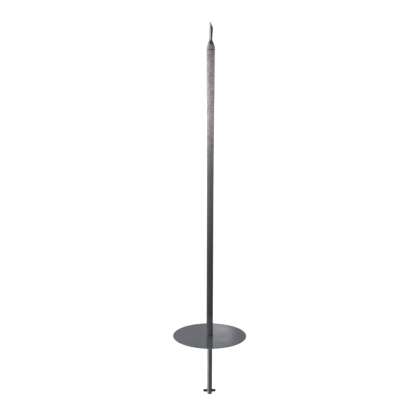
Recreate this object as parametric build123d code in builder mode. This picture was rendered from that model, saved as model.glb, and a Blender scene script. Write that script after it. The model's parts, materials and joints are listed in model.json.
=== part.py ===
from build123d import *
import os
from math import cos, radians, sin

# Vertical rotisserie spit. Origin at the centre of the drive stem's lower end,
# +Z up along the spit, +X along the driver pin. All sizes in millimetres.

# ---- Driving dimensions ----
overall_length = 1250.0
plate_diameter = 250.0
plate_thickness = 2.5
plate_top_z = 211.0
tube_diameter = 22.0
tube_wall = 3.0
tube_flare_z = 741.0
tube_top_diameter = 26.0
tip_length = 86.0
stem_diameter = 18.0
spigot_length = 120.0
driver_pin_diameter = 9.0
driver_pin_length = 42.0
driver_pin_z = 11.0
spring_pin_diameter = 5.0
clamp_screw_diameter = 8.0

# ---- Fits ----
slip_gap = 0.10
thread_gap = 0.05
spigot_gap = 0.02
plate_hole_gap = 0.40
screw_hole_gap = 0.50

# ---- Heights and radii that follow ----
tube_radius = tube_diameter / 2
bore_radius = tube_radius - tube_wall
tube_top_radius = tube_top_diameter / 2
stem_radius = stem_diameter / 2
seam_z = overall_length - tip_length
plate_bottom_z = plate_top_z - plate_thickness

# ---- Stop collar and its spring pin ----
collar_height = 10.0
collar_radius = 16.0
collar_drop = 46.0
collar_chamfer = 0.8
collar_bottom_z = plate_top_z - collar_drop
collar_top_z = collar_bottom_z + collar_height
spring_pin_radius = spring_pin_diameter / 2
spring_pin_wall = 1.0
spring_pin_slot = 0.9
spring_pin_inset = 0.5
spring_pin_z = collar_bottom_z + collar_height / 2
spring_pin_plane = Plane(origin=(0, 0, spring_pin_z), x_dir=(0, 1, 0), z_dir=(1, 0, 0))

# ---- Plate boss and its clamp ----
flange_radius = 32.0
flange_thickness = 3.5
boss_radius = 15.0
boss_root_round = 3.0
boss_bore_radius = tube_radius + slip_gap
flange_bottom_z = plate_bottom_z - flange_thickness
clamp_height = 14.0
clamp_axis_z = collar_top_z + clamp_height
clamp_plane = Plane(origin=(0, 0, clamp_axis_z), x_dir=(1, 0, 0), z_dir=(0, 1, 0))
screw_radius = clamp_screw_diameter / 2

os.makedirs("parts", exist_ok=True)


# ---- Spit tube: straight where the plate slides, wider towards the point ----
with BuildPart() as spit_tube:
    with BuildSketch(Plane.XZ):
        with BuildLine():
            Polyline(
                (bore_radius, collar_bottom_z),
                (tube_radius, collar_bottom_z),
                (tube_radius, tube_flare_z),
                (tube_top_radius, seam_z),
                (tube_top_radius - tube_wall, seam_z),
                (bore_radius, tube_flare_z),
                close=True,
            )
        make_face()
    revolve(axis=Axis.Z)
    with Locations(spring_pin_plane):
        Hole(radius=spring_pin_radius)
spit_tube.part.label = "spit_tube"
export_step(spit_tube.part, "parts/spit_tube.step")


# ---- Spear tip: round collar, pinched shoulder, flat blade cut at a slant ----
tip_collar_height = 8.5
tip_spigot_length = 30.0
tip_spigot_radius = tube_top_radius - tube_wall - 0.2
neck_height = 33.5
near_edge = 9.5
neck_width = 16.1
blade_width = 24.5
blade_thickness = 5.6
edge_thickness = 2.2
edge_round = 0.7
slant_height = 16.0
grind_height = 24.0
pinch_share = 0.47
pinch_half_width = 11.6
pinch_half_thickness = 9.1
neck_inset = 0.3
blade_turn = 20.0

shoulder_z = seam_z + tip_collar_height
neck_z = seam_z + neck_height
pinch_z = shoulder_z + pinch_share * (neck_z - shoulder_z)
blade_root_z = (shoulder_z + pinch_z) / 2
slant_z = overall_length - slant_height
grind_z = overall_length - grind_height
neck_far_edge = near_edge - neck_width
neck_middle = (near_edge + neck_far_edge) / 2
far_edge = near_edge - blade_width

turn_sin, turn_cos = sin(radians(blade_turn)), cos(radians(blade_turn))
blade_face = Plane(origin=(0, 0, 0), x_dir=(-turn_sin, -turn_cos, 0), z_dir=(-turn_cos, turn_sin, 0))
blade_side = Plane(origin=(0, 0, 0), x_dir=(-turn_cos, turn_sin, 0), z_dir=(turn_sin, turn_cos, 0))

with BuildPart() as spear_tip:
    # Broad face: one edge runs straight up to the point, the other opens out to the slanted cut
    with BuildSketch(blade_face):
        with BuildLine():
            Polyline(
                (near_edge, blade_root_z),
                (near_edge, overall_length),
                (far_edge, slant_z),
                (neck_far_edge, neck_z),
                (neck_far_edge, blade_root_z),
                close=True,
            )
        make_face()
    extrude(amount=blade_thickness / 2, both=True)
    fillet(spear_tip.edges().filter_by(GeomType.LINE).sort_by(SortBy.LENGTH)[-4:], radius=edge_round)
    # Side profile: the faces are ground together towards the point
    with BuildSketch(blade_side):
        with BuildLine():
            Polyline(
                (-blade_thickness / 2, seam_z),
                (blade_thickness / 2, seam_z),
                (blade_thickness / 2, grind_z),
                (edge_thickness / 2, overall_length),
                (-edge_thickness / 2, overall_length),
                (-blade_thickness / 2, grind_z),
                close=True,
            )
        make_face()
    extrude(amount=blade_width, both=True, mode=Mode.INTERSECT)
    # Pinched shoulder from the round collar to the flat neck
    with BuildSketch(Plane.XY.offset(shoulder_z)):
        Circle(tube_top_radius)
    with BuildSketch(Plane.XY.offset(pinch_z)):
        Ellipse(pinch_half_width, pinch_half_thickness, rotation=90 - blade_turn)
    with BuildSketch(Plane.XY.offset(neck_z)):
        with Locations((-turn_sin * neck_middle, -turn_cos * neck_middle)):
            Ellipse(
                neck_width / 2 - neck_inset,
                blade_thickness / 2 - neck_inset,
                rotation=90 - blade_turn,
            )
    loft()
    with BuildSketch(Plane.XY.offset(seam_z)):
        Circle(tube_top_radius)
    extrude(amount=tip_collar_height)
    with BuildSketch(Plane.XY.offset(seam_z - tip_spigot_length)):
        Circle(tip_spigot_radius)
    extrude(amount=tip_spigot_length)
spear_tip.part.label = "spear_tip"
export_step(spear_tip.part, "parts/spear_tip.step")


# ---- Weld run round the seam between tip and tube ----
seam_bead_half_width = 1.7
seam_bead_height = 0.35

with BuildPart() as tip_weld:
    with BuildSketch(Plane.XZ):
        with BuildLine():
            Line(
                (tube_top_radius, seam_z - seam_bead_half_width),
                (tube_top_radius, seam_z + seam_bead_half_width),
            )
            ThreePointArc(
                (tube_top_radius, seam_z + seam_bead_half_width),
                (tube_top_radius + seam_bead_height, seam_z),
                (tube_top_radius, seam_z - seam_bead_half_width),
            )
        make_face()
    revolve(axis=Axis.Z)
tip_weld.part.label = "tip_weld"
export_step(tip_weld.part, "parts/tip_weld.step")


# ---- Drive stem: solid bar, turned to a nose below the driver pin and a spigot above ----
nose_radius = 8.5
nose_length = 5.0
nose_chamfer = 1.0
spigot_chamfer = 1.0
driver_pin_radius = driver_pin_diameter / 2
pin_middle_radius = driver_pin_radius + 0.3
pin_middle_half = stem_radius + 0.3
driver_pin_plane = Plane(origin=(0, 0, driver_pin_z), x_dir=(0, 1, 0), z_dir=(1, 0, 0))

with BuildPart() as drive_stem:
    with BuildSketch(Plane.XY):
        Circle(nose_radius)
    extrude(amount=nose_length)
    with BuildSketch(Plane.XY.offset(nose_length)):
        Circle(stem_radius)
    extrude(amount=collar_bottom_z - nose_length)
    with BuildSketch(Plane.XY.offset(collar_bottom_z)):
        Circle(bore_radius - spigot_gap)
    extrude(amount=spigot_length)
    chamfer(drive_stem.edges().filter_by(GeomType.CIRCLE).group_by(Axis.Z)[0], length=nose_chamfer)
    chamfer(drive_stem.edges().filter_by(GeomType.CIRCLE).group_by(Axis.Z)[-1], length=spigot_chamfer)
    with Locations(driver_pin_plane):
        Hole(radius=pin_middle_radius)
    with Locations(spring_pin_plane):
        Hole(radius=spring_pin_radius)
drive_stem.part.label = "drive_stem"
export_step(drive_stem.part, "parts/drive_stem.step")


# ---- Driver pin: fitted middle in the stem, free ends that the drive socket turns ----
pin_chamfer = 0.8

with BuildPart() as drive_pin:
    with BuildSketch(driver_pin_plane):
        Circle(driver_pin_radius)
    extrude(amount=driver_pin_length / 2, both=True)
    chamfer(drive_pin.edges().filter_by(GeomType.CIRCLE), length=pin_chamfer)
    with BuildSketch(driver_pin_plane):
        Circle(pin_middle_radius)
    extrude(amount=pin_middle_half, both=True)
drive_pin.part.label = "drive_pin"
export_step(drive_pin.part, "parts/drive_pin.step")


# ---- Stop collar that the plate boss rests on ----
with BuildPart() as stop_collar:
    with BuildSketch(Plane.XY.offset(collar_bottom_z)):
        Circle(collar_radius)
        Circle(tube_radius + spigot_gap, mode=Mode.SUBTRACT)
    extrude(amount=collar_height)
    outer_rims = stop_collar.edges().filter_by(GeomType.CIRCLE).sort_by(SortBy.RADIUS)[-2:]
    chamfer(outer_rims, length=collar_chamfer)
    with Locations(spring_pin_plane):
        Hole(radius=spring_pin_radius)
stop_collar.part.label = "stop_collar"
export_step(stop_collar.part, "parts/stop_collar.step")


# ---- Spring pin: rolled and slotted, through collar, tube and stem spigot ----
with BuildPart() as collar_pin:
    with BuildSketch(spring_pin_plane):
        Circle(spring_pin_radius)
        Circle(spring_pin_radius - spring_pin_wall, mode=Mode.SUBTRACT)
        with Locations((0, -spring_pin_radius)):
            Rectangle(spring_pin_slot, spring_pin_radius, mode=Mode.SUBTRACT)
    extrude(amount=collar_radius - spring_pin_inset, both=True)
collar_pin.part.label = "collar_pin"
export_step(collar_pin.part, "parts/collar_pin.step")


# ---- Meat plate: flat round plate with a central hole ----
plate_rim_round = 0.5

with BuildPart() as meat_plate:
    with BuildSketch(Plane.XY.offset(plate_bottom_z)):
        Circle(plate_diameter / 2)
        Circle(tube_radius + plate_hole_gap, mode=Mode.SUBTRACT)
    extrude(amount=plate_thickness)
    rims = meat_plate.edges().filter_by(GeomType.CIRCLE).sort_by(SortBy.RADIUS)[-2:]
    fillet(rims, radius=plate_rim_round)
meat_plate.part.label = "meat_plate"
export_step(meat_plate.part, "parts/meat_plate.step")


# ---- Plate boss: flanged sleeve under the plate, bored to slide on the tube ----
with BuildPart() as plate_boss:
    with BuildSketch(Plane.XY.offset(collar_top_z)):
        Circle(boss_radius)
    extrude(amount=flange_bottom_z - collar_top_z)
    with BuildSketch(Plane.XY.offset(flange_bottom_z)):
        Circle(flange_radius)
    extrude(amount=flange_thickness)
    boss_root = plate_boss.edges().filter_by(GeomType.CIRCLE).group_by(Axis.Z)[1].sort_by(SortBy.RADIUS)[0]
    fillet(boss_root, radius=boss_root_round)
    with Locations((0, 0, plate_bottom_z)):
        Hole(radius=boss_bore_radius)
    # Clearance hole for the clamp screw, through the back wall only
    with BuildSketch(clamp_plane):
        Circle(screw_radius + screw_hole_gap)
    extrude(amount=boss_radius + 1, mode=Mode.SUBTRACT)
plate_boss.part.label = "plate_boss"
export_step(plate_boss.part, "parts/plate_boss.step")


# ---- Fillet weld between the boss flange and the plate ----
boss_weld_leg = 3.5
boss_weld_face_radius = 7.7

with BuildPart() as boss_weld:
    with BuildSketch(Plane.XZ):
        with BuildLine():
            Polyline(
                (flange_radius, flange_bottom_z),
                (flange_radius, plate_bottom_z),
                (flange_radius + boss_weld_leg, plate_bottom_z),
            )
            RadiusArc(
                (flange_radius + boss_weld_leg, plate_bottom_z),
                (flange_radius, flange_bottom_z),
                -boss_weld_face_radius,
            )
        make_face()
    revolve(axis=Axis.Z)
boss_weld.part.label = "boss_weld"
export_step(boss_weld.part, "parts/boss_weld.step")


# ---- Clamp nut welded on the back of the boss ----
nut_flats = 13.0
nut_height = 6.5

with BuildPart() as clamp_nut:
    with BuildSketch(clamp_plane.offset(boss_radius)):
        RegularPolygon(radius=nut_flats / 2, side_count=6, major_radius=False)
        Circle(screw_radius, mode=Mode.SUBTRACT)
    extrude(amount=nut_height)
clamp_nut.part.label = "clamp_nut"
export_step(clamp_nut.part, "parts/clamp_nut.step")


# ---- Weld that fills the gap between the flat nut and the round boss ----
nut_weld_root_y = 12.0
nut_weld_depth = 5.0
nut_weld_radius = 10.0
nut_weld_taper = 25
nut_weld_bore = screw_radius + 1.0

with BuildPart() as nut_weld:
    with BuildSketch(clamp_plane.offset(nut_weld_root_y)):
        Circle(nut_weld_radius)
    extrude(amount=nut_weld_depth, taper=nut_weld_taper)
    with BuildSketch(clamp_plane.offset(boss_radius)):
        RegularPolygon(radius=nut_flats / 2, side_count=6, major_radius=False)
    extrude(amount=nut_height, mode=Mode.SUBTRACT)
    with BuildSketch(clamp_plane.offset(nut_weld_root_y)):
        Circle(nut_weld_bore)
    extrude(amount=nut_weld_depth, mode=Mode.SUBTRACT)
    with BuildSketch(Plane.XY.offset(collar_bottom_z)):
        Circle(boss_radius)
    extrude(amount=plate_top_z - collar_bottom_z, mode=Mode.SUBTRACT)
nut_weld.part.label = "nut_weld"
export_step(nut_weld.part, "parts/nut_weld.step")


# ---- Clamp screw: its end locks the boss on the tube ----
screw_start_y = tube_radius + thread_gap
screw_end_y = 37.0
screw_chamfer = 0.8

with BuildPart() as clamp_screw:
    with BuildSketch(clamp_plane.offset(screw_start_y)):
        Circle(screw_radius - thread_gap)
    extrude(amount=screw_end_y - screw_start_y)
    chamfer(clamp_screw.edges().group_by(Axis.Y)[0], length=screw_chamfer)
clamp_screw.part.label = "clamp_screw"
export_step(clamp_screw.part, "parts/clamp_screw.step")


# ---- Wings pressed on the clamp screw ----
wing_reach = 10.5
wing_end_radius = 4.5
wing_root_radius = 5.5
wing_thickness = 4.0
wing_start_y = 32.0
hub_radius = 6.5
hub_start_y = 27.0
hub_taper = 4

with BuildPart() as clamp_wings:
    with BuildSketch(clamp_plane.offset(hub_start_y)):
        Circle(hub_radius)
    extrude(amount=screw_end_y - hub_start_y, taper=hub_taper)
    with BuildSketch(clamp_plane.offset(wing_start_y)):
        Circle(wing_root_radius)
        with Locations((wing_reach, 0), (-wing_reach, 0)):
            Circle(wing_end_radius)
        make_hull()
    extrude(amount=wing_thickness)
    with BuildSketch(clamp_plane.offset(hub_start_y)):
        Circle(screw_radius)
    extrude(amount=screw_end_y - hub_start_y, mode=Mode.SUBTRACT)
clamp_wings.part.label = "clamp_wings"
export_step(clamp_wings.part, "parts/clamp_wings.step")
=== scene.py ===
import json
import math

import bpy
from mathutils import Matrix, Vector, noise as lump

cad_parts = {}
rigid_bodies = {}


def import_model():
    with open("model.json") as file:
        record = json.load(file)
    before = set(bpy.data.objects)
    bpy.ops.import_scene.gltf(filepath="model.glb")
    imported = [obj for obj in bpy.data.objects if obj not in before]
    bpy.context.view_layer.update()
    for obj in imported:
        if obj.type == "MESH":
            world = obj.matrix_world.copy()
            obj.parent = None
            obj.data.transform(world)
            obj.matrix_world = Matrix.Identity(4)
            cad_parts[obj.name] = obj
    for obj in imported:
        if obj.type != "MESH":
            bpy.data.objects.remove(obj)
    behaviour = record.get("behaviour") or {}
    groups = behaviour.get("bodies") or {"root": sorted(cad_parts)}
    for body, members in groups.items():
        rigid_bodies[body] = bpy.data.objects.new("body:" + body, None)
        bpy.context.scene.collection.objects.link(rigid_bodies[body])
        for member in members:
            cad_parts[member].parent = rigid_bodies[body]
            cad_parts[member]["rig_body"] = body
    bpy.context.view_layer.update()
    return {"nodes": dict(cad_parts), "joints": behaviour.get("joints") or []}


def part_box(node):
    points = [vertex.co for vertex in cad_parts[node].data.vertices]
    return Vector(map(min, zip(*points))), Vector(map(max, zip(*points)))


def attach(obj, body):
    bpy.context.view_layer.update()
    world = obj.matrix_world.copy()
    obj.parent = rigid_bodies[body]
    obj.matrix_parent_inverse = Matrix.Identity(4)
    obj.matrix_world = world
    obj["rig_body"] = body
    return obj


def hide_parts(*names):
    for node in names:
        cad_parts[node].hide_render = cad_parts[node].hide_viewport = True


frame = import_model()
NODES = frame["nodes"]
MM = 0.001

# ---------------------------------------------------------------- view of the whole object
VIEW_AZIMUTH = math.radians(-2.0)        # the camera stands a little to the left of straight ahead
PLATE_ELEVATION = math.radians(19.7)     # how steeply the camera looks down on the plate
PLATE_DISTANCE = 2.537                   # from the camera to the plate's centre
AIM = Vector((-0.0022, 0.0, 0.6465))     # the point that falls at the picture's centre
CAMERA_ROLL = math.radians(0.22)
SENSOR = 36.0                            # millimetres, as is the lens
LENS = 62.9

# ---------------------------------------------------------------- sizes read from the frame
SAME_RADIUS = 0.05 * MM
RING_REACH = 0.3 * MM
TUBE_WALL = 3.0 * MM
NOSE_LENGTH = 5.0 * MM
NOSE_CHAMFER = 1.0 * MM


def box_radius(node):
    """Radius of a round node, from its box."""
    low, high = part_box(node)
    return min(high.x, high.y, -low.x, -low.y)


def radius_near(node, z, reach=1.0 * MM):
    """Largest distance from the axis of a node's points near height z."""
    points = [v.co for v in NODES[node].data.vertices if abs(v.co.z - z) < reach]
    return max(math.hypot(p.x, p.y) for p in points)


def bore(node):
    """Smallest distance from the axis of any of a node's points."""
    return min(math.hypot(v.co.x, v.co.y) for v in NODES[node].data.vertices)


tube_low, tube_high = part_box("spit_tube")
tip_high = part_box("spear_tip")[1]
stem_low, stem_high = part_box("drive_stem")
plate_low, plate_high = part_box("meat_plate")
pin_low, pin_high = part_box("drive_pin")
boss_low, boss_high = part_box("plate_boss")
screw_low, screw_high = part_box("clamp_screw")
nut_low, nut_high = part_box("clamp_nut")
wings_low, wings_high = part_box("clamp_wings")

seam_z = tube_high.z
tube_top_radius = box_radius("spit_tube")
tube_radius = radius_near("spit_tube", tube_low.z)
# The tube widens from its highest ring that still has the lower end's radius
flare_z = max(
    v.co.z for v in NODES["spit_tube"].data.vertices
    if abs(math.hypot(v.co.x, v.co.y) - tube_radius) < SAME_RADIUS
)
stem_radius = box_radius("drive_stem")
nose_radius = radius_near("drive_stem", stem_low.z + NOSE_CHAMFER, RING_REACH)
nose_top = stem_low.z + NOSE_LENGTH
plate_radius = box_radius("meat_plate")
plate_hole = bore("meat_plate")
boss_bore = bore("plate_boss")
flange_radius = box_radius("plate_boss")
boss_radius = radius_near("plate_boss", boss_low.z)
clamp_z = next(j["pos_m"][2] for j in frame["joints"] if j["name"] == "clamp_turn")

# The blade's directions, its near edge, and the centre of the painted shade in the crease at its root
UP = Vector((0, 0, 1))
TIP_TURN = math.radians(20.0)            # the blade is turned this far from edge-on
NEAR_SIDE = Vector((-math.sin(TIP_TURN), -math.cos(TIP_TURN), 0))
ACROSS = Vector((math.cos(TIP_TURN), -math.sin(TIP_TURN), 0))
NEAR_EDGE = 9.5 * MM
CREASE_SHADE_CENTRE = Vector((-2.2 * MM, -10.5 * MM, seam_z + 20.5 * MM))


# ---------------------------------------------------------------- mesh helpers
CORNER_SHARE = 0.45                      # a corner's curve takes at most this share of each side


def new_object(name, vertices, faces):
    mesh = bpy.data.meshes.new(name)
    mesh.from_pydata([tuple(v) for v in vertices], [], faces)
    mesh.validate()
    mesh.update()
    obj = bpy.data.objects.new(name, mesh)
    bpy.context.scene.collection.objects.link(obj)
    return obj


def shade(obj, sharp_degrees):
    """Smooth shading that stays crisp across edges turned by more than sharp_degrees."""
    mesh = obj.data
    normals_at = {}
    for polygon in mesh.polygons:
        polygon.use_smooth = True
        for key in polygon.edge_keys:
            normals_at.setdefault(key, []).append(polygon.normal.copy())
    limit = math.radians(sharp_degrees)
    for edge in mesh.edges:
        normals = normals_at.get(tuple(sorted(edge.vertices)), [])
        edge.use_edge_sharp = len(normals) != 2 or normals[0].angle(normals[1], 0.0) > limit


def skin(name, loops, closed=False, cap=False):
    """Joins equal rings of points. closed joins the last ring to the first, cap fills both ends."""
    count = len(loops[0])
    vertices = [point for loop in loops for point in loop]
    faces = []
    for i in range(len(loops) if closed else len(loops) - 1):
        low, high = i * count, ((i + 1) % len(loops)) * count
        for k in range(count):
            n = (k + 1) % count
            faces.append((low + k, low + n, high + n, high + k))
    if cap:
        top = (len(loops) - 1) * count
        faces += [tuple(reversed(range(count))), tuple(range(top, top + count))]
    return new_object(name, vertices, faces)


def rounded(outline, radius, steps=4, closed=True):
    """The outline with each corner turned into a small curve."""
    points = []
    count = len(outline)
    for i, corner in enumerate(outline):
        if not closed and i in (0, count - 1):
            points.append(corner)
            continue
        corner = Vector(corner)
        before = Vector(outline[i - 1]) - corner
        after = Vector(outline[(i + 1) % count]) - corner
        back = corner + before * min(radius / before.length, CORNER_SHARE)
        ahead = corner + after * min(radius / after.length, CORNER_SHARE)
        for s in range(steps + 1):
            t = s / steps
            points.append(tuple(back * (1 - t) ** 2 + corner * 2 * t * (1 - t) + ahead * t ** 2))
    return points


def lathe(name, profile, segments=128, closed=True):
    """Turns a (radius, height) outline, which runs anticlockwise, about Z. An open one gets flat ends."""
    turns = [2 * math.pi * k / segments for k in range(segments)]
    loops = [[Vector((r * math.cos(a), r * math.sin(a), z)) for a in turns] for r, z in profile]
    return skin(name, loops, closed=closed, cap=not closed)


EDGE_SHARP = 32.0                        # degrees: turned pieces
THREAD_SHARP = 45.0                      # cast wings and the thread
BLADE_SHARP = 40.0                       # blade and plate
BEAD_SHARP = 60.0                        # weld beads stay soft
ALONG_X = Matrix(((0, 0, 1, 0), (1, 0, 0, 0), (0, 1, 0, 0), (0, 0, 0, 1)))
ALONG_Y = Matrix(((1, 0, 0, 0), (0, 0, 1, 0), (0, -1, 0, 0), (0, 0, 0, 1)))


def turn_to(obj, turn, height):
    """Lays a piece made about Z along another axis, at a height."""
    obj.data.transform(Matrix.Translation((0, 0, height)) @ turn)
    return obj


def cover(obj, node, material, sharp_degrees=EDGE_SHARP):
    """The piece stands for a CAD node and rides on that node's body."""
    shade(obj, sharp_degrees)
    obj.data.materials.append(material)
    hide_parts(node)
    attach(obj, NODES[node]["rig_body"])


# ---------------------------------------------------------------- node helpers
def start_material(name, metallic=0.0):
    material = bpy.data.materials.new(name)
    material.use_nodes = True
    tree = material.node_tree
    tree.nodes.clear()
    output = tree.nodes.new("ShaderNodeOutputMaterial")
    shader = tree.nodes.new("ShaderNodeBsdfPrincipled")
    shader.inputs["Metallic"].default_value = metallic
    tree.links.new(shader.outputs["BSDF"], output.inputs["Surface"])
    return material, tree, shader


def plug(tree, value, socket):
    """Links an output to the socket, or sets the socket to a colour or a number."""
    if hasattr(value, "links"):
        tree.links.new(value, socket)
    elif hasattr(value, "__len__"):
        socket.default_value = (*value, 1.0)
    else:
        socket.default_value = value


def grain(tree, scale, detail=4.0, roughness=0.55, stretch=(1.0, 1.0, 1.0)):
    """Noise in the object's own space. A large stretch number shortens the marks along that axis."""
    place = tree.nodes.new("ShaderNodeTexCoord")
    mapping = tree.nodes.new("ShaderNodeMapping")
    mapping.inputs["Scale"].default_value = stretch
    node = tree.nodes.new("ShaderNodeTexNoise")
    node.inputs["Scale"].default_value = scale
    node.inputs["Detail"].default_value = detail
    node.inputs["Roughness"].default_value = roughness
    tree.links.new(place.outputs["Object"], mapping.inputs["Vector"])
    tree.links.new(mapping.outputs["Vector"], node.inputs["Vector"])
    return node.outputs["Fac"]


def ramp(tree, value, stops):
    """A colour ramp. stops are (position, grey) or (position, (r, g, b))."""
    node = tree.nodes.new("ShaderNodeValToRGB")
    elements = node.color_ramp.elements
    while len(elements) < len(stops):
        elements.new(0.5)
    for element, (position, colour) in zip(elements, stops):
        element.position = position
        element.color = (*(colour if hasattr(colour, "__len__") else (colour,) * 3), 1.0)
    tree.links.new(value, node.inputs["Fac"])
    return node.outputs["Color"]


def mix(tree, factor, first, second, blend="MIX"):
    """first at factor 0, second at factor 1. Either may be a node's output or a colour."""
    node = tree.nodes.new("ShaderNodeMix")
    node.data_type = "RGBA"
    node.blend_type = blend
    plug(tree, factor, node.inputs[0])
    plug(tree, first, node.inputs[6])
    plug(tree, second, node.inputs[7])
    return node.outputs[2]


def along(tree, direction, low, high):
    """0 below low and 1 above high, along a direction in the object's own space."""
    place = tree.nodes.new("ShaderNodeTexCoord")
    dot = tree.nodes.new("ShaderNodeVectorMath")
    dot.operation = "DOT_PRODUCT"
    dot.inputs[1].default_value = direction
    span = tree.nodes.new("ShaderNodeMapRange")
    span.inputs["From Min"].default_value = low
    span.inputs["From Max"].default_value = high
    tree.links.new(place.outputs["Object"], dot.inputs[0])
    tree.links.new(dot.outputs["Value"], span.inputs["Value"])
    return span.outputs["Result"]


def product(tree, first, second):
    """first times second."""
    node = tree.nodes.new("ShaderNodeMath")
    node.operation = "MULTIPLY"
    plug(tree, first, node.inputs[0])
    plug(tree, second, node.inputs[1])
    return node.outputs[0]


def near_point(tree, point, inner, outer):
    """1 within inner of a point of the object, fading to 0 at outer."""
    place = tree.nodes.new("ShaderNodeTexCoord")
    distance = tree.nodes.new("ShaderNodeVectorMath")
    distance.operation = "DISTANCE"
    distance.inputs[1].default_value = point
    span = tree.nodes.new("ShaderNodeMapRange")
    span.inputs["From Min"].default_value = outer
    span.inputs["From Max"].default_value = inner
    tree.links.new(place.outputs["Object"], distance.inputs[0])
    tree.links.new(distance.outputs["Value"], span.inputs["Value"])
    return span.outputs["Result"]


def add_bump(tree, shader, height, strength, distance):
    bump = tree.nodes.new("ShaderNodeBump")
    bump.inputs["Strength"].default_value = strength
    bump.inputs["Distance"].default_value = distance
    tree.links.new(height, bump.inputs["Height"])
    tree.links.new(bump.outputs["Normal"], shader.inputs["Normal"])


# ---------------------------------------------------------------- materials
BUMP_DEPTH = 0.3 * MM
PLATE_BUMP_DEPTH = 0.1 * MM
TUBE_SPECULAR = 0.08
STEEL_METALLIC = 0.95
PLATE_METALLIC = 0.3
CLOUD_SHARE = 0.18                       # the scale of a steel's clouds beside its grain's
CLOUD_STRENGTH = 0.35
STAIN_STRENGTH = 0.5
# Strength and reach of the painted shade in the crease at the blade's root
CREASE_SHADE_STRENGTH = 0.9
CREASE_SHADE_INNER, CREASE_SHADE_OUTER = 1.2 * MM, 3.0 * MM
# The near edge's painted highlight fades in between these depths from the edge
EDGE_HIGHLIGHT_FROM, EDGE_HIGHLIGHT_FULL = 1.0 * MM, 0.5 * MM


def tube_material():
    """Dark and smooth low down, paler, rough and mottled towards the point. The pale upper part is a
    painted highlight, and the brighter foot next to the plate is a painted reflection of the plate.
    """
    material, tree, shader = start_material("tube_steel")
    shader.inputs["Specular IOR Level"].default_value = TUBE_SPECULAR
    height = along(tree, UP, tube_low.z, seam_z)
    blotch = grain(tree, 95.0, 6.0, 0.66, (1.0, 1.0, 1.3))
    rings = grain(tree, 120.0, 3.0, 0.6, (0.4, 0.4, 8.0))
    # Painted light in the tone: the pale band high up is a painted highlight, and the bright lowest stops
    # are a painted reflection of the plate on the tube's foot.
    tone_with_painted_light = ramp(tree, height, [
        (0.05, (0.270, 0.268, 0.272)), (0.08, (0.190, 0.189, 0.192)), (0.13, (0.084, 0.084, 0.087)),
        (0.30, (0.080, 0.080, 0.082)), (0.43, (0.125, 0.123, 0.123)), (0.52, (0.178, 0.172, 0.172)),
        (0.60, (0.222, 0.210, 0.208)), (0.68, (0.375, 0.350, 0.343)), (0.78, (0.620, 0.578, 0.562)),
        (0.85, (0.630, 0.588, 0.572)), (0.96, (0.540, 0.500, 0.490)), (1.00, (0.400, 0.372, 0.364)),
    ])
    worn = ramp(tree, height, [(0.45, 0.0), (0.75, 1.0)])
    mottle = ramp(tree, blotch, [(0.34, 0.60), (0.50, 0.92), (0.66, 1.12)])
    fine = ramp(tree, rings, [(0.35, 0.84), (0.65, 1.06)])
    colour = mix(tree, 1.0, tone_with_painted_light, mix(tree, worn, fine, mottle), "MULTIPLY")
    tree.links.new(colour, shader.inputs["Base Color"])
    tree.links.new(ramp(tree, height, [(0.20, 0.10), (0.70, 0.32)]), shader.inputs["Metallic"])
    rough = ramp(tree, blotch, [(0.32, 0.62), (0.68, 0.46)])
    sleek = ramp(tree, rings, [(0.3, 0.52), (0.7, 0.44)])
    tree.links.new(mix(tree, worn, sleek, rough), shader.inputs["Roughness"])
    add_bump(tree, shader, mix(tree, worn, rings, blotch), 0.18, BUMP_DEPTH)
    return material


def steel_material(name, dark, pale, smooth, rough, scale=120.0, stretch=(1.0, 1.0, 1.0), bump=0.2):
    """Worn steel: colour, gloss and bump all follow the same fine grain."""
    material, tree, shader = start_material(name, STEEL_METALLIC)
    fine = grain(tree, scale, 5.0, 0.6, stretch)
    cloud = grain(tree, scale * CLOUD_SHARE, 3.0, 0.5)
    colour = ramp(tree, fine, [(0.32, dark), (0.68, pale)])
    clouds = ramp(tree, cloud, [(0.35, 0.6), (0.65, 1.0)])
    colour = mix(tree, CLOUD_STRENGTH, colour, clouds, "MULTIPLY")
    tree.links.new(colour, shader.inputs["Base Color"])
    tree.links.new(ramp(tree, fine, [(0.3, rough), (0.7, smooth)]), shader.inputs["Roughness"])
    add_bump(tree, shader, fine, bump, BUMP_DEPTH)
    return material


def plate_material():
    """Satin rolled sheet: grey with fine grain one way, faint stains and scratches. Its bluish tint is a
    painted reflection of a blue sky.
    """
    material, tree, shader = start_material("plate_steel", PLATE_METALLIC)
    rolled = grain(tree, 300.0, 3.0, 0.6, (1.0, 12.0, 1.0))
    stain = grain(tree, 16.0, 5.0, 0.55)
    scratch = grain(tree, 60.0, 2.0, 0.5, (9.0, 0.5, 1.0))
    # The blue in these colours is a painted reflection of a blue sky; the grey is the sheet's own.
    colour = ramp(tree, rolled, [(0.30, (0.256, 0.276, 0.328)), (0.70, (0.288, 0.310, 0.368))])
    stains = ramp(tree, stain, [(0.36, (0.80, 0.77, 0.75)), (0.60, 1.0)])
    colour = mix(tree, STAIN_STRENGTH, colour, stains, "MULTIPLY")
    scratches = ramp(tree, scratch, [(0.66, 0.0), (0.70, 0.25)])
    colour = mix(tree, scratches, colour, (0.30, 0.31, 0.33))
    tree.links.new(colour, shader.inputs["Base Color"])
    tree.links.new(ramp(tree, stain, [(0.35, 0.14), (0.65, 0.09)]), shader.inputs["Roughness"])
    add_bump(tree, shader, rolled, 0.03, PLATE_BUMP_DEPTH)
    return material


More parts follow.
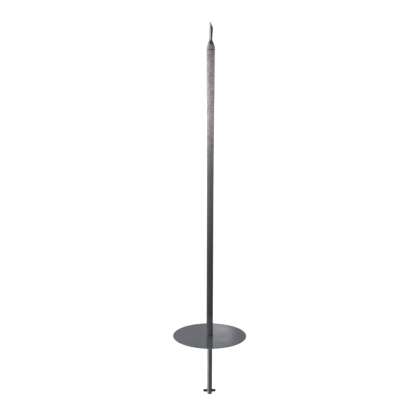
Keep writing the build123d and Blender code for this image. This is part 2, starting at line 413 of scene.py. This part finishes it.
def tip_material():
    """Forged steel with painted shade in the crease at the blade's root and a painted highlight on the
    near edge.
    """
    material, tree, shader = start_material("tip_steel")
    fine = grain(tree, 110.0, 5.0, 0.6)
    height = along(tree, UP, seam_z, tip_high.z)
    forged = ramp(tree, height, [(0.15, 0.0), (0.26, 1.0)])
    collar = ramp(tree, fine, [(0.32, (0.34, 0.315, 0.30)), (0.68, (0.52, 0.495, 0.48))])
    blade = ramp(tree, fine, [(0.32, (0.25, 0.23, 0.222)), (0.68, (0.38, 0.355, 0.345))])
    colour = mix(tree, forged, collar, blade)
    # Painted shade: the crease at the blade's root is darkened nearly to black.
    crease = near_point(tree, CREASE_SHADE_CENTRE, CREASE_SHADE_INNER, CREASE_SHADE_OUTER)
    colour = mix(tree, product(tree, crease, CREASE_SHADE_STRENGTH), colour, (0.05, 0.043, 0.042))
    # Painted highlight: above the neck, the near edge on the lit side is painted nearly white and made
    # less metallic.
    edge = along(tree, NEAR_SIDE, NEAR_EDGE - EDGE_HIGHLIGHT_FROM, NEAR_EDGE - EDGE_HIGHLIGHT_FULL)
    painted_edge_highlight = product(tree, edge, ramp(tree, height, [(0.30, 0.0), (0.40, 1.0)]))
    colour = mix(tree, painted_edge_highlight, colour, (0.90, 0.87, 0.85))
    tree.links.new(colour, shader.inputs["Base Color"])
    metal = mix(tree, forged, (0.55, 0.55, 0.55), (0.95, 0.95, 0.95))
    tree.links.new(mix(tree, painted_edge_highlight, metal, (0.45, 0.45, 0.45)), shader.inputs["Metallic"])
    tree.links.new(ramp(tree, fine, [(0.3, 0.50), (0.7, 0.34)]), shader.inputs["Roughness"])
    add_bump(tree, shader, fine, 0.25, BUMP_DEPTH)
    return material


tube_steel = tube_material()
stem_steel = steel_material(
    "stem_steel", (0.37, 0.358, 0.356), (0.52, 0.505, 0.502), 0.20, 0.32,
    stretch=(0.4, 0.4, 6.0), bump=0.1)
pin_steel = steel_material(
    "pin_steel", (0.085, 0.078, 0.078), (0.160, 0.150, 0.150), 0.38, 0.55)
tip_steel = tip_material()
weld_metal = steel_material(
    "weld_metal", (0.25, 0.225, 0.215), (0.46, 0.43, 0.41), 0.36, 0.6,
    scale=220.0, bump=0.35)
boss_steel = steel_material(
    "boss_steel", (0.34, 0.34, 0.35), (0.52, 0.52, 0.53), 0.24, 0.38,
    stretch=(0.5, 0.5, 7.0), bump=0.12)
zinc = steel_material(
    "fastener_steel", (0.50, 0.50, 0.48), (0.72, 0.72, 0.69), 0.20, 0.38, scale=200.0)
plate_steel = plate_material()

# ---------------------------------------------------------------- tube, stem and driver pin
TUBE_LIP = 0.4 * MM
tube_profile = rounded([
    (tube_radius - TUBE_WALL, tube_low.z),
    (tube_radius, tube_low.z),
    (tube_radius, flare_z),
    (tube_top_radius, seam_z),
    (tube_top_radius - TUBE_WALL, seam_z),
    (tube_radius - TUBE_WALL, flare_z),
], TUBE_LIP)
cover(lathe("tube_skin", tube_profile), "spit_tube", tube_steel)

STEP_ROUND = 0.3 * MM
stem_profile = rounded([
    (nose_radius - NOSE_CHAMFER, stem_low.z),
    (nose_radius, stem_low.z + NOSE_CHAMFER),
    (nose_radius, nose_top),
    (stem_radius, nose_top),
    (stem_radius, tube_low.z),
    (tube_radius - TUBE_WALL, tube_low.z),
    (tube_radius - TUBE_WALL, stem_high.z),
], STEP_ROUND, closed=False)
cover(lathe("stem_skin", stem_profile, closed=False), "drive_stem", stem_steel)

PIN_CHAMFER = 0.8 * MM
PIN_STEP = 0.3 * MM                      # the pin's middle is thicker than its ends by this
PIN_SEGMENTS = 64
pin_z = (pin_low.z + pin_high.z) / 2
pin_middle_radius = (pin_high.z - pin_low.z) / 2
pin_radius = pin_middle_radius - PIN_STEP
pin_middle = stem_radius + PIN_STEP
pin_profile = rounded([
    (pin_radius - PIN_CHAMFER, pin_low.x),
    (pin_radius, pin_low.x + PIN_CHAMFER),
    (pin_radius, -pin_middle),
    (pin_middle_radius, -pin_middle),
    (pin_middle_radius, pin_middle),
    (pin_radius, pin_middle),
    (pin_radius, pin_high.x - PIN_CHAMFER),
    (pin_radius - PIN_CHAMFER, pin_high.x),
], STEP_ROUND, closed=False)
pin = turn_to(lathe("pin_skin", pin_profile, PIN_SEGMENTS, closed=False), ALONG_X, pin_z)
cover(pin, "drive_pin", pin_steel)


# ---------------------------------------------------------------- spear tip
TIP_POINTS = 128
FIRST_SLICE, SLICE, LAST_SLICE = 0.6 * MM, 0.9 * MM, 1.0 * MM
TIP_COLLAR = 8.5 * MM
NECK_HEIGHT = 33.5 * MM
NECK_FAR_EDGE = -6.6 * MM
FAR_EDGE = -15.0 * MM
SLANT_DROP = 16.0 * MM
GRIND_DROP = 24.0 * MM
BLADE_ROOT_SHARE = 0.5                   # the blade starts this far from the collar to the pinch
BLADE_HALF = 2.8 * MM
EDGE_HALF = 1.1 * MM
PINCH_SHARE = 0.47
PINCH = (11.6 * MM, 9.1 * MM)
NECK_INSET = 0.3 * MM
POINT_WIDTH = 0.4 * MM
ROUND, SQUARE = 2, 14
FORGE_LUMPS = 0.16 * MM
LUMP_SCALE = 140
LUMP_FADE = 12 * MM                      # the lumps grow from nothing over this height


def between(first, second, t):
    """first at t = 0, second at t = 1."""
    return first + (second - first) * t


def tip_outlines(z):
    """A centre along the blade and the outlines joined at a height.

    An outline is (reach to the near side, reach to the far side, half thickness, squareness).
    """
    shoulder_z, neck_z = seam_z + TIP_COLLAR, seam_z + NECK_HEIGHT
    pinch_z = between(shoulder_z, neck_z, PINCH_SHARE)
    slant_z, grind_z = tip_high.z - SLANT_DROP, tip_high.z - GRIND_DROP
    if z <= shoulder_z:
        return 0.0, [(tube_top_radius, tube_top_radius, tube_top_radius, ROUND)]
    if z <= neck_z:
        blade_root_z = between(shoulder_z, pinch_z, BLADE_ROOT_SHARE)
        if z <= pinch_z:
            t, centre = (z - shoulder_z) / (pinch_z - shoulder_z), 0.0
            wide = between(tube_top_radius, PINCH[0], t)
            deep = between(tube_top_radius, PINCH[1], t)
        else:
            t = (z - pinch_z) / (neck_z - pinch_z)
            centre = t * (NEAR_EDGE + NECK_FAR_EDGE) / 2
            wide = between(PINCH[0], (NEAR_EDGE - NECK_FAR_EDGE) / 2 - NECK_INSET, t)
            deep = between(PINCH[1], BLADE_HALF - NECK_INSET, t)
        outlines = [(wide, wide, deep, ROUND)]
        if z > blade_root_z:
            outlines.append((NEAR_EDGE - centre, centre - NECK_FAR_EDGE, BLADE_HALF, SQUARE))
        return centre, outlines
    far = between(NECK_FAR_EDGE, FAR_EDGE, min((z - neck_z) / (slant_z - neck_z), 1.0))
    half = BLADE_HALF
    if z > slant_z:
        far = between(FAR_EDGE, NEAR_EDGE - POINT_WIDTH, (z - slant_z) / (tip_high.z - slant_z))
    if z > grind_z:
        half = between(BLADE_HALF, EDGE_HALF, (z - grind_z) / (tip_high.z - grind_z))
    reach = (NEAR_EDGE - far) / 2
    return (NEAR_EDGE + far) / 2, [(reach, reach, half, SQUARE)]


def outline_reach(u, v, outline):
    """How far the outline lies along (u, v), as a multiple of it."""
    near, far, half, squareness = outline
    share = abs(u) / (near if u > 0 else far)
    return (share ** squareness + (abs(v) / half) ** squareness) ** (-1 / squareness)


def build_tip():
    """Slices from the seam to the point, with the shallow dents of forging."""
    heights = [seam_z, seam_z + FIRST_SLICE]
    while heights[-1] < tip_high.z - LAST_SLICE:
        heights.append(heights[-1] + SLICE)
    heights.append(tip_high.z)
    loops = []
    for z in heights:
        centre, outlines = tip_outlines(z)
        wide = max(outline[0] for outline in outlines)
        deep = max(outline[2] for outline in outlines)
        fade = min((z - seam_z) / LUMP_FADE, 1.0)
        loop = []
        for k in range(TIP_POINTS):
            a = 2 * math.pi * k / TIP_POINTS
            u, v = wide * math.cos(a), deep * math.sin(a)
            reach = max(outline_reach(u, v, outline) for outline in outlines)
            point = NEAR_SIDE * (centre + u * reach) + ACROSS * (v * reach)
            dent = FORGE_LUMPS * fade * lump.noise(Vector((point.x, point.y, z)) * LUMP_SCALE)
            point -= point.normalized() * abs(dent)
            loop.append(Vector((point.x, point.y, z)))
        loops.append(loop)
    return skin("tip_skin", loops, cap=True)


cover(build_tip(), "spear_tip", tip_steel, BLADE_SHARP)


# ---------------------------------------------------------------- weld runs
WANDER_SCALE = 3
WANDER_SHARE = 0.5
BEAD_STEPS = 8


def ripple(angle, count, depth):
    """Height of a weld run, from the overlapping ripples that the torch leaves."""
    phase = (angle * count / (2 * math.pi)) % 1.0
    place = Vector((math.cos(angle) * WANDER_SCALE, math.sin(angle) * WANDER_SCALE, count))
    return 1.0 - depth * phase ** 2 - WANDER_SHARE * depth * abs(lump.noise(place))


def weld_run(name, section, count, depth, segments=480):
    """section gives the (radius, height) outline for a bead height factor."""
    loops = []
    for k in range(segments):
        a = 2 * math.pi * k / segments
        outline = section(ripple(a, count, depth))
        loops.append([Vector((r * math.cos(a), r * math.sin(a), z)) for r, z in outline])
    return skin(name, loops, closed=True)


def seam_section(height):
    """A low bead round the seam between tube and tip, sunk a little into both."""
    half, proud, sunk = 1.7 * MM, 0.35 * MM, 0.3 * MM
    outline = [(tube_top_radius - sunk, seam_z - half)]
    for s in range(BEAD_STEPS + 1):
        t = s / BEAD_STEPS
        bulge = proud * height * math.sin(math.pi * t)
        outline.append((tube_top_radius + bulge, seam_z + half * (2 * t - 1)))
    outline.append((tube_top_radius - sunk, seam_z + half))
    return outline


def boss_section(height):
    """A fillet bead in the corner between the flange's rim and the plate's underside."""
    leg, proud, sunk, skim = 3.5 * MM, 0.7 * MM, 0.5 * MM, 0.01 * MM
    outward, uneven = 0.7, 0.1
    top = plate_low.z - skim
    outline = [(flange_radius - sunk, top)]
    for s in range(BEAD_STEPS + 1):
        t = s / BEAD_STEPS
        bulge = proud * height * math.sin(math.pi * t) * outward
        r = flange_radius + leg * t * (1 - uneven + uneven * height)
        z = plate_low.z - leg * (1 - t) - bulge if s < BEAD_STEPS else top
        outline.append((r + bulge, z))
    return outline


seam_bead = weld_run("seam_bead", seam_section, count=34, depth=0.55)
cover(seam_bead, "tip_weld", weld_metal, BEAD_SHARP)
boss_bead = weld_run("boss_bead", boss_section, count=60, depth=0.5)
cover(boss_bead, "boss_weld", weld_metal, BEAD_SHARP)


# ---------------------------------------------------------------- plate and boss
PLATE_RINGS = 30
PLATE_SEGMENTS = 256
PLATE_WAVE = 0.05 * MM
WAVE_SCALE = 22
RIM_CALM, BOSS_CALM = 15 * MM, 20 * MM   # the wave fades out over these at the rim and the boss
RIM_ROUND = 0.5 * MM
RIM_STEPS = 5


def build_plate():
    """Rolled sheet is never quite flat, so the top and bottom carry one very shallow wave."""
    inner, outer = plate_hole, plate_radius
    flat_end = outer - RIM_ROUND * 2
    across = [inner + (flat_end - inner) * k / PLATE_RINGS for k in range(PLATE_RINGS)]
    rim = rounded([(flat_end, plate_low.z), (outer, plate_low.z), (outer, plate_high.z),
                   (flat_end, plate_high.z)], RIM_ROUND, RIM_STEPS, closed=False)
    top = [(r, plate_high.z) for r in reversed(across)]
    obj = lathe("plate_skin", [(r, plate_low.z) for r in across] + rim + top, PLATE_SEGMENTS)
    for vertex in obj.data.vertices:
        place = vertex.co
        reach = math.hypot(place.x, place.y)
        calm = min((outer - reach) / RIM_CALM, 1.0)
        calm *= min(max(reach - flange_radius, 0) / BOSS_CALM, 1.0)
        wave = lump.noise(Vector((place.x, place.y, 0)) * WAVE_SCALE)
        vertex.co.z += PLATE_WAVE * calm * wave
    return obj


cover(build_plate(), "meat_plate", plate_steel, BLADE_SHARP)

FLANGE_THICKNESS = 3.5 * MM
BOSS_ROUND = 0.4 * MM
BOSS_ROOT = 3.0 * MM
BOSS_ROOT_STEPS = 8
BORE_START = 2.0 * MM                    # above the lower rim, where the outline starts in the bore
ROOT_CLEAR = 5.0 * MM                    # from the sleeve to the flange's flat underside
flange_z = boss_high.z - FLANGE_THICKNESS
boss_sleeve = rounded([
    (boss_bore, boss_low.z + BORE_START),
    (boss_bore, boss_low.z),
    (boss_radius, boss_low.z),
    (boss_radius, clamp_z),
], BOSS_ROUND, closed=False)
boss_root = rounded([
    (boss_radius, clamp_z),
    (boss_radius, flange_z),
    (flange_radius, flange_z),
], BOSS_ROOT, BOSS_ROOT_STEPS, closed=False)
boss_flange = rounded([
    (boss_radius + ROOT_CLEAR, flange_z),
    (flange_radius, flange_z),
    (flange_radius, boss_high.z),
    (boss_bore, boss_high.z),
], BOSS_ROUND, closed=False)
boss_profile = boss_sleeve[:-1] + boss_root[:-1] + boss_flange[1:]
cover(lathe("boss_skin", boss_profile), "plate_boss", boss_steel)


# ---------------------------------------------------------------- clamp: nut, weld, screw and wings
def ring(radius, count, y):
    """Points round the Z axis, at a height that turn_to lays along another axis."""
    turns = [2 * math.pi * k / count for k in range(count)]
    return [Vector((radius * math.cos(a), radius * math.sin(a), y)) for a in turns]


def hexagon_radius(angle, flats):
    """How far a hexagon's side is from its centre, at an angle."""
    sector = math.pi / 3
    return flats / 2 / math.cos((angle + sector / 2) % sector - sector / 2)


def build_nut():
    """A hexagon whose corners are turned off at both ends, round its threaded hole."""
    count, chamfer, corner_share = 144, 0.9 * MM, 1.06
    flats, depth = nut_high.z - nut_low.z, nut_high.y - nut_low.y
    hole, corner = screw_high.x, flats / 2 * corner_share
    loops = [ring(hole, count, nut_low.y)]
    for y, turned in ((0.0, True), (chamfer, False), (depth - chamfer, False), (depth, True)):
        loop = []
        for k in range(count):
            a = 2 * math.pi * k / count
            r = hexagon_radius(a, flats)
            r = min(r, corner) if turned else r
            loop.append(Vector((r * math.cos(a), r * math.sin(a), nut_low.y + y)))
        loops.append(loop)
    loops.append(ring(hole, count, nut_high.y))
    return turn_to(skin("nut_skin", loops, closed=True), ALONG_Y, clamp_z)


def build_nut_weld():
    """A bead that climbs round the nut where it meets the round boss."""
    run_radius, section_points, segments = 7.6 * MM, 14, 300
    least, growth, ripples, ripple_depth = 1.5 * MM, 0.4, 26, 0.3
    loops = []
    for k in range(segments):
        a = 2 * math.pi * k / segments
        x, z = run_radius * math.cos(a), run_radius * math.sin(a)
        wall = math.sqrt(boss_radius ** 2 - x ** 2)
        size = (least + growth * (nut_low.y - wall)) * ripple(a, ripples, ripple_depth)
        middle = Vector((x, (wall + nut_low.y) / 2, clamp_z + z))
        out = Vector((math.cos(a), 0, math.sin(a)))
        loop = []
        for s in range(section_points):
            b = -2 * math.pi * s / section_points
            loop.append(middle + out * size * math.cos(b) + Vector((0, size * math.sin(b), 0)))
        loops.append(loop)
    return skin("nut_bead", loops, closed=True)


def build_screw():
    """A shank with a real helical thread and a flat chamfered end."""
    major, pitch, depth, crest = screw_high.x, 1.25 * MM, 0.55 * MM, 0.9
    chamfer, count, rows_per_turn = 0.8 * MM, 48, 10
    length = screw_high.y - screw_low.y
    rows = int(length / pitch * rows_per_turn)
    loops = []
    for i in range(rows + 1):
        y = length * i / rows
        limit = major - chamfer + min(y, chamfer)
        loop = []
        for k in range(count):
            a = 2 * math.pi * k / count
            phase = (y / pitch - a / (2 * math.pi)) % 1.0
            r = min(major - depth * (1 - abs(2 * phase - 1)) ** crest, limit)
            loop.append(Vector((r * math.cos(a), r * math.sin(a), screw_low.y + y)))
        loops.append(loop)
    return turn_to(skin("screw_skin", loops, cap=True), ALONG_Y, clamp_z)


def build_wings():
    """Two cast wings that grow out of a tapered hub and thin towards their round ends."""
    count, stations = 120, 40
    reach, hole = wings_high.x, screw_high.x
    depth = wings_high.y - wings_low.y
    hub_base, hub_top, hub_round = 6.5 * MM, 5.8 * MM, 0.5 * MM
    round_end, round_start = 12, 0.92    # the hub's rims are rounded over a twelfth of its depth
    wing_start, wing_end = wings_low.y + 4.2 * MM, wings_high.y - 0.6 * MM
    swell_power, wing_power = 4, 7       # a high power gives blunt wing ends and narrow wings
    loops = [ring(hole, count, wings_low.y)]
    for i in range(stations + 1):
        t = i / stations
        y = wings_low.y + depth * i / stations
        hub = hub_base + (hub_top - hub_base) * t
        hub -= hub_round * (max(0.0, 1 - t * round_end) + max(0.0, (t - round_start) * round_end))
        inside = (y - wing_start) / (wing_end - wing_start)
        swell = 0.0
        if 0 < inside < 1:
            swell = math.sqrt(max(0.0, 1 - (2 * inside - 1) ** swell_power))
        loop = []
        for k in range(count):
            a = 2 * math.pi * k / count
            r = hub + (reach - hub) * swell * abs(math.cos(a)) ** wing_power
            loop.append(Vector((r * math.cos(a), r * math.sin(a), y)))
        loops.append(loop)
    loops.append(ring(hole, count, wings_high.y))
    return turn_to(skin("wings_skin", loops, closed=True), ALONG_Y, clamp_z)


cover(build_nut(), "clamp_nut", zinc)
cover(build_nut_weld(), "nut_weld", weld_metal, BEAD_SHARP)
cover(build_screw(), "clamp_screw", zinc, THREAD_SHARP)
cover(build_wings(), "clamp_wings", zinc, THREAD_SHARP)

# The stop collar and its spring pin keep their CAD shapes
for node, material in (("stop_collar", stem_steel), ("collar_pin", pin_steel)):
    NODES[node].data.materials.clear()
    NODES[node].data.materials.append(material)


# ---------------------------------------------------------------- floor, light and camera
FLOOR_REACH = 40.0
FLOOR_GLOW = 0.8
FLOOR_ROUGHNESS = 0.9
LIGHT_AZIMUTH = math.radians(112)        # the brightest side of the light tent, left of the camera
LIGHT_SIDE = Vector((-math.sin(LIGHT_AZIMUTH), -math.cos(LIGHT_AZIMUTH), 0.0))
TENT_LEVELS = [                          # from the dim side to the bright side
    (0.0, 0.11), (0.30, 0.12), (0.48, 0.17), (0.62, 0.30),
    (0.69, 0.44), (0.76, 0.72), (0.90, 1.15), (1.0, 1.3),
]
PANEL_PLACE = (0.450, 8.0, 2.82)         # a pale panel behind the object, which the plate mirrors
PANEL_WIDTH, PANEL_HEIGHT = 0.32, 0.64
PANEL_RADIANCE = 0.84


def build_floor():
    """A pale floor that gives off a little light. Mirror-like surfaces don't see it."""
    reach = FLOOR_REACH
    corners = [(-reach, -reach, 0), (reach, -reach, 0), (reach, reach, 0), (-reach, reach, 0)]
    floor = new_object("floor", corners, [(0, 1, 2, 3)])
    material, tree, shader = start_material("pale_floor")
    shader.inputs["Roughness"].default_value = FLOOR_ROUGHNESS
    shader.inputs["Emission Color"].default_value = (1.0, 1.0, 1.0, 1.0)
    shader.inputs["Emission Strength"].default_value = FLOOR_GLOW
    pale = ramp(tree, grain(tree, 2.0), [(0.3, 0.86), (0.7, 0.90)])
    tree.links.new(pale, shader.inputs["Base Color"])
    floor.data.materials.append(material)
    floor.visible_glossy = False


def build_world():
    """A light tent: bright from the left, dim from the right, and plain white behind the object."""
    world = bpy.data.worlds.new("studio")
    bpy.context.scene.world = world
    world.use_nodes = True
    tree = world.node_tree
    tree.nodes.clear()
    output = tree.nodes.new("ShaderNodeOutputWorld")
    white = tree.nodes.new("ShaderNodeBackground")
    tent = tree.nodes.new("ShaderNodeBackground")
    rays = tree.nodes.new("ShaderNodeLightPath")
    choose = tree.nodes.new("ShaderNodeMixShader")
    place = tree.nodes.new("ShaderNodeTexCoord")
    dot = tree.nodes.new("ShaderNodeVectorMath")
    dot.operation = "DOT_PRODUCT"
    dot.inputs[1].default_value = LIGHT_SIDE
    span = tree.nodes.new("ShaderNodeMapRange")
    span.inputs["From Min"].default_value = -1.0
    tree.links.new(place.outputs["Generated"], dot.inputs[0])
    tree.links.new(dot.outputs["Value"], span.inputs["Value"])
    peak = max(level for _, level in TENT_LEVELS)
    stops = [(position, level / peak) for position, level in TENT_LEVELS]
    levels = ramp(tree, span.outputs["Result"], stops)
    tree.links.new(levels, tent.inputs["Color"])
    tent.inputs["Strength"].default_value = peak
    tree.links.new(rays.outputs["Is Camera Ray"], choose.inputs[0])
    tree.links.new(tent.outputs[0], choose.inputs[1])
    tree.links.new(white.outputs[0], choose.inputs[2])
    white.inputs["Color"].default_value = (1.0, 1.0, 1.0, 1.0)
    tree.links.new(choose.outputs[0], output.inputs["Surface"])


def build_panel():
    """A hidden area light, far behind the object and facing the plate."""
    light = bpy.data.lights.new("back_panel", "AREA")
    light.shape = "RECTANGLE"
    light.size, light.size_y = PANEL_WIDTH, PANEL_HEIGHT
    light.energy = PANEL_RADIANCE * math.pi * PANEL_WIDTH * PANEL_HEIGHT
    obj = bpy.data.objects.new("back_panel", light)
    bpy.context.scene.collection.objects.link(obj)
    obj.location = PANEL_PLACE
    to_plate = Vector((0, 0, plate_high.z)) - Vector(PANEL_PLACE)
    obj.rotation_euler = to_plate.to_track_quat("-Z", "Y").to_euler()
    obj.visible_camera = False


def build_camera():
    """A camera placed by its distance and elevation from the plate's centre."""
    horizontal = PLATE_DISTANCE * math.cos(PLATE_ELEVATION)
    position = Vector((
        horizontal * math.sin(VIEW_AZIMUTH),
        -horizontal * math.cos(VIEW_AZIMUTH),
        plate_high.z + PLATE_DISTANCE * math.sin(PLATE_ELEVATION),
    ))
    data = bpy.data.cameras.new("camera")
    data.sensor_width = SENSOR
    data.lens = LENS
    camera = bpy.data.objects.new("camera", data)
    bpy.context.scene.collection.objects.link(camera)
    camera.location = position
    camera.rotation_euler = (AIM - position).to_track_quat("-Z", "Y").to_euler()
    camera.rotation_euler.rotate_axis("Z", CAMERA_ROLL)
    bpy.context.scene.camera = camera


build_floor()
build_world()
build_panel()
build_camera()
bpy.context.scene.view_settings.view_transform = "Standard"
